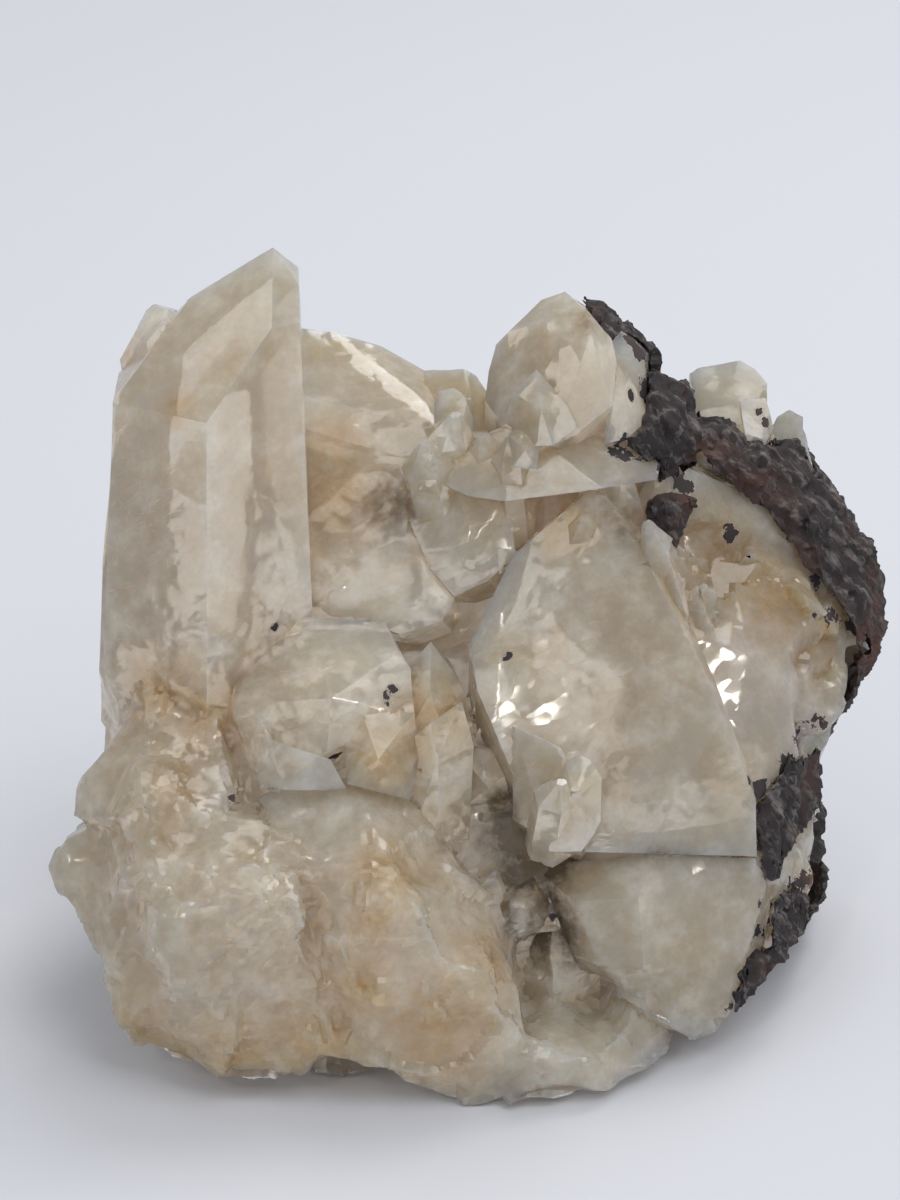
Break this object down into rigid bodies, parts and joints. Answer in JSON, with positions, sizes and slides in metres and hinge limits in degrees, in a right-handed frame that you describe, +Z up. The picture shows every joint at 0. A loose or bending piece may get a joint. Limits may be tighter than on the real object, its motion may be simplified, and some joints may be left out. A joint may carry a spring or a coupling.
{
  "type": "quartz crystal cluster",
  "caption": "Hand-sized cluster of milky quartz crystals with one tall point, on a broken quartz base with a dark matrix rind.",
  "frame": {"origin": "middle of the bounding box's bottom, on the surface that the cluster rests on", "axes": "+Z up, -Y towards the viewer of the pictured side, +X to that viewer's right, so the tall point is at the left"},
  "size_m": [0.114, 0.0752, 0.102],
  "materials": {
    "quartz": "milky, partly see-through quartz with shiny crystal faces and rough broken ones",
    "matrix": "dull, rough, near-black iron and manganese matrix"
  },
  "bodies": {
    "root": {"quartz_cluster": "quartz", "matrix_rind": "matrix", "matrix_patch_low": "matrix", "matrix_patch_ledge": "matrix"}
  },
  "joints": []
}
